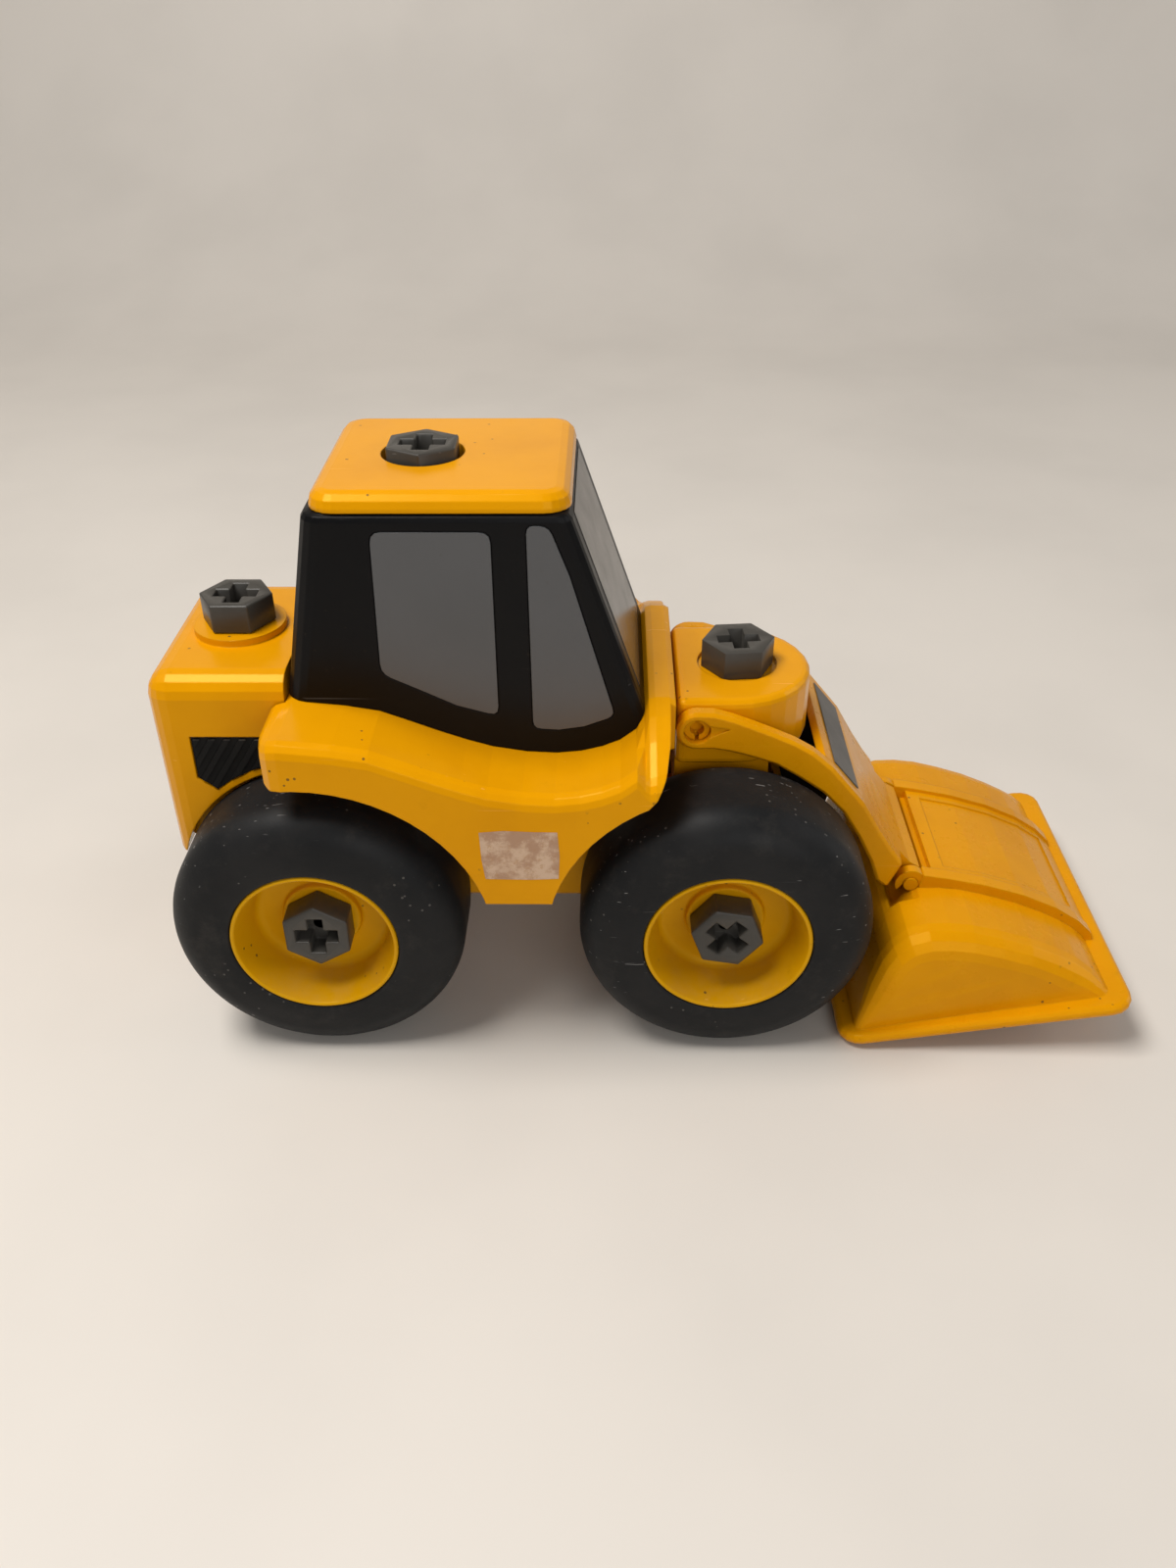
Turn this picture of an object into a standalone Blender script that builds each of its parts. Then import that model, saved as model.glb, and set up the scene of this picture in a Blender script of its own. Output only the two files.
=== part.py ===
"""Take-apart toy wheel loader: chassis, fender body, engine cover, cab, front block, arm, bucket,
four wheels and seven big toy screws.  +X is forward, +Y is the left side, +Z is up.
Numbers are millimetres; mesh_from() turns them into metres."""
import math

import bmesh
import bpy
from mathutils import Matrix, Vector

MM = 0.001
GAP = 0.3

# wheels
REAR_X = -127.0
FRONT_X = 26.0
AXLE_Z = 55.0
TYRE_R = 55.0
TYRE_OUT = 75.0
TYRE_IN = 29.0
SHOULDER_R = 13.6
BEAD_R = 31.4
RIM_R = 31.1
RIM_LIP_R = 29.6
RIM_FLOOR_Y = 56.3
HUB_R = 15.0
HUB_Y = 59.6
AXLE_R = 5.9
AXLE_BORE_R = 5.97
WHEEL_SEG = 32
BORE_SEG = 24

# screws
HEAD_AF = 24.0
HEAD_H = 11.0
SHANK_R = 3.2
SHANK_HOLE_R = 3.6
CROSS_SPAN = 16.0
CROSS_ARM = 5.7
CROSS_DEPTH = 8.5
SHANK_LEN = 24.0

# chassis
CHASSIS_HALF_W = 26.5
CHASSIS_BOTTOM = 38.0
CHASSIS_TOP = 66.0
CHASSIS_WALL = 3.2
CHASSIS_POCKETS = [(-172.0, -66.0), (-35.0, 8.0)]
POST_R = 7.0
CAB_SCREW_X = -83.0
ENGINE_SCREW_X = -157.3
BLOCK_SCREW_X = 30.8

# fender body
BODY_HALF_W = 73.2
BODY_EDGE_R = 5.0
BODY_FOOT_Z = 73.0
ARCH_R = 67.0
BODY_WALL = 3.7
# top line of the fender body, seen from the side
BODY_TOP = [(-138.2, 136.8), (-136.6, 138.2), (-134.0, 139.1), (-130.4, 139.8), (-123.8, 139.2),
            (-112.0, 138.0), (-99.6, 135.8), (-89.0, 131.6), (-78.7, 127.4), (-69.0, 123.8),
            (-60.0, 121.0), (-48.0, 118.9), (-36.9, 118.3), (-28.0, 119.2), (-20.4, 121.2),
            (-14.0, 124.0), (-8.3, 128.6), (-5.5, 134.0), (-3.9, 138.0), (-1.5, 138.7),
            (3.6, 138.6), (5.8, 137.4)]
# how far the side is drawn in at the rounded ends
BODY_DRAW_IN = {-138.2: 8.0, -136.6: 3.2, -134.0: 0.9, 3.6: 1.8, 5.8: 5.2}
NOSE_CORNER = [(-6.0, 112.5), (-1.4, 118.2), (1.6, 124.4), (3.4, 131.0), (4.4, 143.0), (12.0, 143.0),
               (12.0, 100.0), (-6.0, 100.0)]
COWL_START = -8.3
COWL_FULL = -3.9
COWL_FLAT_Y = 37.0
COWL_DROP = 13.2

# engine cover
ENGINE_REAR = -184.3
ENGINE_FRONT = -133.4
ENGINE_HALF_W = 41.4
ENGINE_BOTTOM = 71.5
ENGINE_TOP = 148.0
ENGINE_EDGE_R = 8.5
ENGINE_ARCH_R = 56.4
ENGINE_WELL_Y = 28.2
ENGINE_SEAT_Z = 150.7
GRILLE = [(-170.2, 124.3), (-170.4, 106.4), (-163.6, 100.9), (-158.0, 104.9), (-150.0, 109.1),
          (-140.3, 112.4), (-140.3, 124.3)]

# cab
CAB_HALF_W = 42.2
CAB_TOP = 209.0
CAB_FRONT_FOOT = (-5.3, 134.7)
CAB_FRONT_DEEP = (2.5, 112.0)
CAB_FRONT_TOP = (-30.8, 209.0)
CAB_REAR_FOOT_Z = 140.2
CAB_REAR_DEEP = (-138.3, 112.0)
CAB_REAR_TOP = (-119.6, 209.0)
CAB_REAR_R = 7.5
CAB_FRONT_R = 4.0
CAB_WALL = 3.4
PANEL_DEPTH = 1.3
DOOR_WINDOW = [(-96.8, 203.7), (-56.7, 203.6), (-57.0, 133.6), (-72.0, 138.0), (-86.0, 145.0),
               (-98.0, 150.8)]
QUARTER_WINDOW = [(-45.5, 206.0), (-37.6, 205.6), (-31.0, 188.0), (-15.6, 133.8), (-27.0, 129.4),
                  (-36.0, 128.0), (-45.4, 128.6)]
WINDSHIELD_HALF_W = 32.0
ROOF_HALF_W = 40.9
ROOF_REAR = -117.4
ROOF_FRONT = -30.4
ROOF_TOP = 215.6
ROOF_EDGE_R = 5.0
ROOF_CORNER_R = 9.0
ROOF_SEAT_Z = 208.0
ROOF_BORE_R = 14.7

# front block
BLOCK_REAR = 6.6
BLOCK_R = 30.8
BLOCK_X = 28.0
BLOCK_BOTTOM = 105.6
BLOCK_SKIRT_BOTTOM = 88.0
BLOCK_SKIRT_HALF_W = 28.0
BLOCK_TOP = 133.1
BLOCK_SEAT_Z = 131.7
STUD_R = 4.88

# loader arm
PIVOT = (14.0, 124.0)
PIVOT_BOSS_R = 7.7
PIVOT_HOLE_R = 5.0
ARM_IN = 31.1
ARM_OUT = 37.4
ARM_TOP = [(20.0, 131.5), (27.0, 129.4), (34.0, 126.6), (42.0, 123.2), (50.0, 119.5), (57.4, 115.0),
           (65.0, 108.2), (78.4, 92.0), (86.0, 79.0), (91.5, 70.5), (96.2, 64.3)]
ARM_UNDER = [(91.2, 52.2), (86.6, 56.0), (83.4, 65.0), (77.7, 76.3), (70.5, 88.2), (61.9, 97.4),
             (51.8, 104.6), (43.4, 109.9), (34.8, 112.9), (27.0, 115.2), (20.0, 116.4)]
PLATE_THICK = 3.0
HINGE = (101.2, 51.9)
HINGE_BAR_R = 2.9
HINGE_EYE_R = 3.0
EYE_IN = 29.4
EYE_OUT = 33.6
EYE_R = 6.1

# bucket, stored with its mouth down
RIM_PLANE_START = (73.0, 0.9)
RIM_PLANE_ANGLE = math.radians(9.7)
RIM_PLANE_LEN = 113.0
RIM_HALF_W = 73.6
RIM_THICK = 5.0
RIM_CORNER_R = 9.0
# rows across the bucket: x, z, half-width and how far the row's ends are rolled over
SHELL = [(77.6, 3.0, 69.6, 1.5), (80.6, 14.5, 68.8, 5.0), (83.6, 26.0, 67.8, 8.5), (87.0, 36.3, 67.0, 10.0),
         (90.6, 42.8, 66.5, 10.0), (96.0, 47.8, 66.2, 10.0), (103.5, 50.3, 66.0, 10.0),
         (112.0, 50.6, 66.0, 10.0), (121.0, 49.6, 66.0, 10.0), (132.0, 46.8, 66.0, 10.0),
         (144.0, 43.0, 66.0, 10.0), (155.0, 38.4, 66.0, 10.0), (163.0, 34.2, 66.1, 9.5),
         (169.2, 30.0, 66.3, 8.0), (173.4, 26.0, 66.8, 6.0), (176.8, 21.8, 67.6, 3.5),
         (178.6, 18.9, 68.2, 1.5)]
HOLLOW = [(77.7, -6.0, 67.0, 1.5), (84.5, 16.0, 64.6, 6.0), (89.6, 33.5, 62.4, 8.0), (94.4, 39.6, 61.8, 8.0),
          (101.0, 41.6, 61.5, 8.0), (108.5, 42.0, 61.5, 8.0), (118.0, 44.4, 61.5, 8.0),
          (132.0, 42.2, 61.5, 8.0), (147.0, 37.4, 61.5, 8.0), (159.0, 31.6, 61.6, 7.5),
          (166.6, 26.2, 62.0, 6.0), (171.8, 19.5, 63.0, 4.0), (176.0, 12.0, 64.0, 1.5)]
LUG_ROOM_R = 7.5
RIB_TOP = [(106.0, 56.4), (116.0, 54.8), (131.0, 51.6), (147.0, 46.6), (161.0, 40.2), (171.0, 33.6),
           (177.2, 27.4)]
RIB_IN = 28.4
RIB_OUT = 34.4
PANEL_START = 110.5
PANEL_STEP = 1.5


def material(name, colour, roughness, metallic=0.0):
    mat = bpy.data.materials.new(name)
    mat.use_nodes = True
    shader = mat.node_tree.nodes["Principled BSDF"]
    shader.inputs["Base Color"].default_value = (*colour, 1.0)
    shader.inputs["Roughness"].default_value = roughness
    shader.inputs["Metallic"].default_value = metallic
    mat.diffuse_color = (*colour, 1.0)
    return mat


def mesh_from(name, verts, faces):
    """A mesh object from millimetre points, with every face turned outward."""
    mesh = bpy.data.meshes.new(name)
    mesh.from_pydata([(x * MM, y * MM, z * MM) for x, y, z in verts], [], faces)
    bm = bmesh.new()
    bm.from_mesh(mesh)
    bmesh.ops.recalc_face_normals(bm, faces=bm.faces)
    bm.to_mesh(mesh)
    bm.free()
    obj = bpy.data.objects.new(name, mesh)
    bpy.context.scene.collection.objects.link(obj)
    return obj


def prism(name, points, y0, y1):
    """Side-view polygon (x, z) run from y0 to y1."""
    n = len(points)
    verts = [(x, y0, z) for x, z in points] + [(x, y1, z) for x, z in points]
    faces = [list(range(n)), list(range(2 * n - 1, n - 1, -1))]
    faces += [[i, (i + 1) % n, n + (i + 1) % n, n + i] for i in range(n)]
    return mesh_from(name, verts, faces)


def plan_prism(name, points, z0, z1):
    """Plan-view polygon (x, y) run from z0 to z1."""
    n = len(points)
    verts = [(x, y, z0) for x, y in points] + [(x, y, z1) for x, y in points]
    faces = [list(range(n)), list(range(2 * n - 1, n - 1, -1))]
    faces += [[i, (i + 1) % n, n + (i + 1) % n, n + i] for i in range(n)]
    return mesh_from(name, verts, faces)


def box(name, low, high):
    points = [(low[0], low[2]), (high[0], low[2]), (high[0], high[2]), (low[0], high[2])]
    return prism(name, points, low[1], high[1])


def cylinder(name, axis, centre, radius, start, end, segments=32):
    """A cylinder along axis 'y' or 'z'; centre is (x, z) or (x, y)."""
    ring = [(centre[0] + radius * math.cos(2 * math.pi * i / segments),
             centre[1] + radius * math.sin(2 * math.pi * i / segments)) for i in range(segments)]
    if axis == "y":
        return prism(name, ring, start, end)
    return plan_prism(name, ring, start, end)


def revolve_y(name, profile, centre, segments):
    """A closed (radius, y) profile turned round the Y line through centre (x, z)."""
    n = len(profile)
    verts = []
    for i in range(segments):
        a = 2 * math.pi * i / segments
        verts += [(centre[0] + r * math.cos(a), y, centre[1] + r * math.sin(a)) for r, y in profile]
    faces = []
    for i in range(segments):
        k = (i + 1) % segments
        faces += [[i * n + j, i * n + (j + 1) % n, k * n + (j + 1) % n, k * n + j] for j in range(n)]
    return mesh_from(name, verts, faces)


def apply_modifiers(obj):
    graph = bpy.context.evaluated_depsgraph_get()
    mesh = bpy.data.meshes.new_from_object(obj.evaluated_get(graph))
    obj.modifiers.clear()
    old = obj.data
    obj.data = mesh
    bpy.data.meshes.remove(old)


def combine(obj, tools, operation):
    """Boolean obj with each tool in turn; the tools are used up."""
    for tool in tools:
        mod = obj.modifiers.new("bool", "BOOLEAN")
        mod.operation = operation
        mod.solver = "EXACT"
        mod.object = tool
        bpy.context.view_layer.update()
        apply_modifiers(obj)
        bpy.data.objects.remove(tool)
    return obj


def cut(obj, *tools):
    return combine(obj, tools, "DIFFERENCE")


def join(obj, *tools):
    return combine(obj, tools, "UNION")


def round_edges(obj, radius, segments=2, angle=35.0):
    mod = obj.modifiers.new("round", "BEVEL")
    mod.width = radius * MM
    mod.segments = segments
    mod.limit_method = "ANGLE"
    mod.angle_limit = math.radians(angle)
    mod.use_clamp_overlap = True
    bpy.context.view_layer.update()
    apply_modifiers(obj)
    return obj


def roll_edges(obj, radius, segments, wanted):
    """Round the edges that run along the object's length and pass wanted(end, end), in millimetres."""
    bm = bmesh.new()
    bm.from_mesh(obj.data)
    edges = [e for e in bm.edges if wanted(e.verts[0].co / MM, e.verts[1].co / MM)]
    bmesh.ops.bevel(bm, geom=edges, offset=radius * MM, segments=segments, profile=0.5, affect="EDGES")
    bm.to_mesh(obj.data)
    bm.free()
    return obj


def finish(obj, mat, pivot=None, smooth=35.0):
    """Clean the mesh, colour it, and put its origin on the joint axis."""
    bm = bmesh.new()
    bm.from_mesh(obj.data)
    bmesh.ops.remove_doubles(bm, verts=bm.verts, dist=0.00002)
    bmesh.ops.dissolve_degenerate(bm, edges=bm.edges, dist=0.00002)
    bmesh.ops.recalc_face_normals(bm, faces=bm.faces)
    bm.to_mesh(obj.data)
    bm.free()
    obj.data.materials.clear()
    obj.data.materials.append(mat)
    for polygon in obj.data.polygons:
        polygon.use_smooth = True
    obj.data.set_sharp_from_angle(angle=math.radians(smooth))
    if pivot is not None:
        point = Vector(pivot) * MM
        obj.data.transform(Matrix.Translation(-point))
        obj.location = point
    return obj


def shrink(points, distance):
    """Move each side of a convex-ish polygon inward by distance."""
    n = len(points)
    area = sum(points[i][0] * points[(i + 1) % n][1] - points[(i + 1) % n][0] * points[i][1]
               for i in range(n))
    turn = 1.0 if area > 0 else -1.0
    moved = []
    for i in range(n):
        before = Vector(points[i]) - Vector(points[i - 1])
        after = Vector(points[(i + 1) % n]) - Vector(points[i])
        n1 = Vector((-before.y, before.x)).normalized() * turn
        n2 = Vector((-after.y, after.x)).normalized() * turn
        mid = (n1 + n2).normalized()
        moved.append(tuple(Vector(points[i]) + mid * (distance / max(mid.dot(n1), 0.4))))
    return moved


def rounded(points, radius):
    """Cuts each sharp corner of an outline with a short arc."""
    n = len(points)
    smooth = []
    for i in range(n):
        corner = Vector(points[i])
        back = (Vector(points[i - 1]) - corner).normalized()
        ahead = (Vector(points[(i + 1) % n]) - corner).normalized()
        if back.angle(ahead) > math.radians(150.0):
            smooth.append(tuple(corner))
            continue
        start, end = corner + back * radius, corner + ahead * radius
        for k in range(4):
            t = k / 3.0
            smooth.append(tuple(start * (1 - t) ** 2 + corner * 2 * t * (1 - t) + end * t ** 2))
    return smooth


def arc(centre, radius, start, end, count):
    return [(centre[0] + radius * math.cos(math.radians(start + (end - start) * i / count)),
             centre[1] + radius * math.sin(math.radians(start + (end - start) * i / count)))
            for i in range(count + 1)]


def body_top(x):
    """Height of the fender body's top line at x."""
    for (x0, z0), (x1, z1) in zip(BODY_TOP, BODY_TOP[1:]):
        if x0 <= x <= x1:
            return z0 + (z1 - z0) * (x - x0) / (x1 - x0)
    return BODY_TOP[-1][1]


def clear_scene():
    for obj in list(bpy.data.objects):
        bpy.data.objects.remove(obj)


def make_screw(name, mat, seat, direction, spin):
    """A big hexagonal toy screw; seat is the point under the head, direction points out of it."""
    points = [(0.5 * HEAD_AF / math.cos(math.pi / 6) * math.cos(math.pi / 3 * i + spin),
               0.5 * HEAD_AF / math.cos(math.pi / 6) * math.sin(math.pi / 3 * i + spin)) for i in range(6)]
    head = plan_prism(name, points, 0.0, HEAD_H)
    round_edges(head, 0.9, 1)
    bars = []
    for turn in (0.0, math.pi / 2):
        bar = box("bar", (-CROSS_SPAN / 2, -CROSS_ARM / 2, HEAD_H - CROSS_DEPTH),
                  (CROSS_SPAN / 2, CROSS_ARM / 2, HEAD_H + 4.0))
        bar.data.transform(Matrix.Rotation(spin + turn, 4, "Z"))
        bars.append(bar)
    cut(head, *bars)
    cut(head, cylinder("dimple", "z", (0.0, 0.0), 1.6, HEAD_H - CROSS_DEPTH - 1.2, HEAD_H, 8))
    shank = cylinder("shank", "z", (0.0, 0.0), SHANK_R, -SHANK_LEN, 1.0, 12)
    join(head, shank)
    head.data.transform(Vector((0, 0, 1)).rotation_difference(Vector(direction)).to_matrix().to_4x4())
    head.data.transform(Matrix.Translation(Vector(seat) * MM))
    return finish(head, mat, seat)


def make_tyre(name, mat, x, side):
    flat = TYRE_R - SHOULDER_R
    outer = arc((flat, TYRE_OUT - SHOULDER_R), SHOULDER_R, 90.0, 0.0, 5)
    inner = arc((flat, TYRE_IN + SHOULDER_R), SHOULDER_R, 0.0, -90.0, 3)
    profile = [(BEAD_R, TYRE_OUT), (36.0, TYRE_OUT + 0.4)] + outer + inner + [(BEAD_R, TYRE_IN)]
    profile += [(BEAD_R, 35.0), (44.0, 33.5), (51.5, 44.0), (51.5, 60.0), (44.0, 70.5), (BEAD_R, 69.0)]
    tyre = revolve_y(name, [(r, y * side) for r, y in profile], (x, AXLE_Z), WHEEL_SEG)
    return finish(tyre, mat, (x, side * TYRE_OUT, AXLE_Z))


def make_rim(name, mat, x, side):
    profile = [(RIM_R, 74.4), (RIM_LIP_R + 0.5, 75.0), (RIM_LIP_R - 0.4, 74.2), (25.6, 60.0),
               (23.6, 57.0), (21.0, RIM_FLOOR_Y), (HUB_R, RIM_FLOOR_Y), (HUB_R, 59.0),
               (HUB_R - 0.6, HUB_Y), (AXLE_BORE_R, HUB_Y), (AXLE_BORE_R, 30.0), (9.5, 30.0),
               (9.5, 50.8), (24.0, 50.8), (28.0, 44.0), (28.0, 30.0), (RIM_R, 30.0)]
    rim = revolve_y(name, [(r, y * side) for r, y in profile], (x, AXLE_Z), WHEEL_SEG)
    return finish(rim, mat, (x, side * RIM_FLOOR_Y, AXLE_Z))


def make_chassis(mat):
    base = box("chassis", (-176.0, -CHASSIS_HALF_W, CHASSIS_BOTTOM), (56.0, CHASSIS_HALF_W, CHASSIS_TOP))
    round_edges(base, 3.0, 1)
    for start, end in CHASSIS_POCKETS:
        half = CHASSIS_HALF_W - CHASSIS_WALL
        cut(base, box("pocket", (start, -half, 30.0), (end, half, CHASSIS_TOP - CHASSIS_WALL)))
    tower = box("tower", (12.6, -23.0, CHASSIS_TOP - 2.0), (37.0, 23.0, 128.9))
    join(base, tower)
    for x in (REAR_X, FRONT_X):
        join(base, cylinder("axle", "y", (x, AXLE_Z), AXLE_R, -59.2, 59.2, BORE_SEG))
    join(base, cylinder("shoulder", "z", (CAB_SCREW_X, 0.0), 11.0, 64.0, 119.5, 24))
    join(base, cylinder("post", "z", (CAB_SCREW_X, 0.0), POST_R, 100.0, 203.9, 24))
    join(base, cylinder("post", "z", (ENGINE_SCREW_X, 0.0), 9.0, 64.0, 144.0, 24))
    for x, top in ((CAB_SCREW_X, 210.0), (ENGINE_SCREW_X, 150.0), (BLOCK_SCREW_X, 135.0)):
        cut(base, cylinder("hole", "z", (x, 0.0), SHANK_HOLE_R, top - 38.0, top, 16))
    for x in (REAR_X, FRONT_X):
        for side in (-1, 1):
            ends = sorted((side * 34.0, side * 62.0))
            cut(base, cylinder("hole", "y", (x, AXLE_Z), SHANK_HOLE_R, ends[0], ends[1], 16))
    return finish(base, mat)


def make_body(mat):
    """Fender body: a block under a wavy top, with the arches, hollow and notch cut out."""
    xs = [x for x, _ in BODY_TOP]
    fractions = [0.0, 30.0, 60.0, 90.0]
    rows = []
    for x, top in BODY_TOP:
        half = BODY_HALF_W - BODY_DRAW_IN.get(x, 0.0)
        ramp = min(max((x - COWL_START) / (COWL_FULL - COWL_START), 0.0), 1.0)
        right = []
        for angle in reversed(fractions):
            y = half - BODY_EDGE_R + BODY_EDGE_R * math.sin(math.radians(angle))
            drop = BODY_EDGE_R * (1.0 - math.cos(math.radians(angle)))
            right.append((y, drop))
        right += [(y, 0.0) for y in (56.0, 46.0, COWL_FLAT_Y)]
        row = []
        for y, drop in right + [(-y, drop) for y, drop in reversed(right)]:
            part = min(max((abs(y) - COWL_FLAT_Y) / 31.0, 0.0), 1.1)
            row.append((x, -y, top - drop - ramp * COWL_DROP * part ** 1.3))
        rows.append(row)
    m = len(rows[0])
    verts = [p for row in rows for p in row]
    verts += [(x, y, BODY_FOOT_Z) for row in rows for x, y, _ in row]
    low = len(rows) * m
    faces = []
    for i in range(len(xs) - 1):
        for j in range(m - 1):
            a = i * m + j
            faces.append([a, a + 1, a + m + 1, a + m])
            faces.append([low + a, low + a + m, low + a + m + 1, low + a + 1])
        for j in (0, m - 1):
            a = i * m + j
            faces.append([a, a + m, low + a + m, low + a])
    for i in (0, len(xs) - 1):
        for j in range(m - 1):
            a = i * m + j
            faces.append([a, a + 1, low + a + 1, low + a])
    body = mesh_from("fender_body", verts, faces)
    cut(body, cylinder("arch", "y", (REAR_X, AXLE_Z), ARCH_R, -80.0, 80.0, 60),
        cylinder("arch", "y", (FRONT_X, AXLE_Z), ARCH_R, -80.0, 80.0, 60))
    inner = [(x, z - BODY_WALL) for x, z in BODY_TOP if -127.0 < x < -12.0]
    inner = [(-127.0, body_top(-127.0) - BODY_WALL)] + inner + [(-12.0, body_top(-12.0) - BODY_WALL)]
    inner = [(-127.0, 60.0)] + inner + [(-12.0, 60.0)]
    cut(body, prism("hollow", inner, -(BODY_HALF_W - BODY_WALL), BODY_HALF_W - BODY_WALL))
    half = ENGINE_HALF_W + 0.7
    cut(body, box("notch", (-150.0, -half, 60.0), (ENGINE_FRONT + 0.5, half, 160.0)))
    cut(body, cylinder("post_hole", "z", (CAB_SCREW_X, 0.0), POST_R + 0.5, 100.0, 160.0, 24))
    tail = [(-140.0, 127.5)] + arc((-131.2, 127.5), 7.0, 180.0, 270.0, 5)
    cut(body, prism("tail_corner", tail + [(-131.2, 108.0), (-140.0, 108.0)], -80.0, 80.0))
    for side in (-1, 1):
        ends = sorted((side * 40.0, side * 80.0))
        cut(body, prism("nose_corner", NOSE_CORNER, ends[0], ends[1]))
    return finish(body, mat, (CAB_SCREW_X, 0.0, BODY_FOOT_Z))


def make_engine_cover(mat):
    cover = box("engine_cover", (ENGINE_REAR, -ENGINE_HALF_W, ENGINE_BOTTOM),
                (ENGINE_FRONT, ENGINE_HALF_W, ENGINE_TOP))
    rear = ENGINE_REAR + 0.1
    high = ENGINE_TOP - 0.1
    roll_edges(cover, ENGINE_EDGE_R, 4,
               lambda a, b: max(a.z, b.z) > high and (max(a.x, b.x) < rear or abs(a.x - b.x) > 20.0))
    join(cover, cylinder("ring", "z", (ENGINE_SCREW_X, 0.0), 17.2, 140.0, ENGINE_SEAT_Z, 40))
    for side in (-1, 1):
        ends = sorted((side * ENGINE_WELL_Y, side * 60.0))
        cut(cover, cylinder("arch", "y", (REAR_X, AXLE_Z), ENGINE_ARCH_R, ends[0], ends[1], 64))
    inner = ENGINE_WELL_Y - 3.4
    cut(cover, box("hollow", (ENGINE_REAR + 3.4, -inner, 60.0), (ENGINE_FRONT - 3.4, inner, 144.5)))
    cut(cover, cylinder("hole", "z", (ENGINE_SCREW_X, 0.0), SHANK_HOLE_R + 0.2, 130.0, 160.0, 16))
    for side in (-1, 1):
        ends = sorted((side * (ENGINE_HALF_W - 1.6), side * 60.0))
        cut(cover, prism("recess", GRILLE, ends[0], ends[1]))
    return finish(cover, mat, (ENGINE_SCREW_X, 0.0, ENGINE_SEAT_Z))


def make_grille(name, mat, side):
    """Black ribbed panel let into the side of the engine cover."""
    outline = shrink(GRILLE, GAP)
    inner = ENGINE_HALF_W - 1.6 + GAP
    ends = sorted((side * inner, side * (inner + 0.7)))
    panel = prism(name, outline, ends[0], ends[1])
    ends = sorted((side * (inner + 0.2), side * (inner + 1.9)))
    ribs = prism("ribs", shrink(outline, 0.8), ends[0], ends[1])
    slots = []
    for i in range(11):
        x = -190.0 + 5.6 * i
        slot = [(x, 96.0), (x + 3.1, 96.0), (x + 3.1 + 21.0, 128.0), (x + 21.0, 128.0)]
        slots.append(prism("slot", slot, side * (inner + 1.3) - 1.0, side * (inner + 1.3) + 1.0))
    cut(ribs, *slots)
    join(panel, ribs)
    return finish(panel, mat, (-155.0, side * ENGINE_HALF_W, 115.0))


def make_cab(mat):
    outline = [CAB_REAR_DEEP, CAB_FRONT_DEEP, CAB_FRONT_TOP, CAB_REAR_TOP]
    cab = prism("cab_shell", outline, -CAB_HALF_W, CAB_HALF_W)
    middle_x = 0.5 * (CAB_REAR_TOP[0] + CAB_FRONT_TOP[0])
    roll_edges(cab, CAB_REAR_R, 4, lambda a, b: max(a.x, b.x) < middle_x and abs(a.z - b.z) > 50.0)
    roll_edges(cab, CAB_FRONT_R, 3, lambda a, b: min(a.x, b.x) > middle_x and abs(a.z - b.z) > 50.0)
    round_edges(cab, 2.4, 2, 50.0)
    under = [(-145.0, 100.0), (-145.0, CAB_REAR_FOOT_Z)]
    under += [(x, z + GAP) for x, z in BODY_TOP if x > -130.5] + [(12.0, 137.7), (12.0, 100.0)]
    cut(cab, prism("under", under, -60.0, 60.0))
    low = [(-126.5, 100.0), (-12.0, 100.0), (-12.0, 134.0), (-36.5, 206.0), (-115.5, 206.0), (-126.5, 146.0)]
    cut(cab, prism("hollow", low, -(CAB_HALF_W - CAB_WALL), CAB_HALF_W - CAB_WALL))
    cut(cab, cylinder("top_hole", "z", (CAB_SCREW_X, 0.0), 18.4, 200.0, 215.0, 32))
    for side in (-1, 1):
        ends = sorted((side * (CAB_HALF_W - PANEL_DEPTH), side * 50.0))
        cut(cab, prism("recess", rounded(DOOR_WINDOW, 4.0), ends[0], ends[1]))
        cut(cab, prism("recess", rounded(QUARTER_WINDOW, 3.2), ends[0], ends[1]))
    cut(cab, prism("recess", windshield_outline(0.0, 6.0), -WINDSHIELD_HALF_W, WINDSHIELD_HALF_W))
    return finish(cab, mat, (CAB_SCREW_X, 0.0, CAB_TOP))


def windshield_outline(inset, proud):
    """Thin slab on the sloping front; inset shortens it and lifts it off the recess."""
    foot = Vector(CAB_FRONT_FOOT)
    along = (Vector(CAB_FRONT_TOP) - foot).normalized()
    out = Vector((along.y, -along.x))
    low = foot + along * (5.6 + inset)
    high = Vector(CAB_FRONT_TOP) - along * (2.6 + inset)
    back = -PANEL_DEPTH + inset
    corners = (low + out * back, low + out * proud, high + out * proud, high + out * back)
    return [tuple(corner) for corner in corners]


def make_window(name, mat, outline, radius, side):
    inner = CAB_HALF_W - PANEL_DEPTH + GAP
    ends = sorted((side * inner, side * (CAB_HALF_W + 0.2)))
    panel = prism(name, shrink(rounded(outline, radius), GAP), ends[0], ends[1])
    return finish(panel, mat, (outline[0][0], side * CAB_HALF_W, outline[0][1]))


def make_windshield(mat):
    half = WINDSHIELD_HALF_W - GAP
    panel = prism("windshield", windshield_outline(GAP, 0.2), -half, half)
    return finish(panel, mat, (CAB_FRONT_FOOT[0], 0.0, CAB_FRONT_FOOT[1]))


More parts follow.
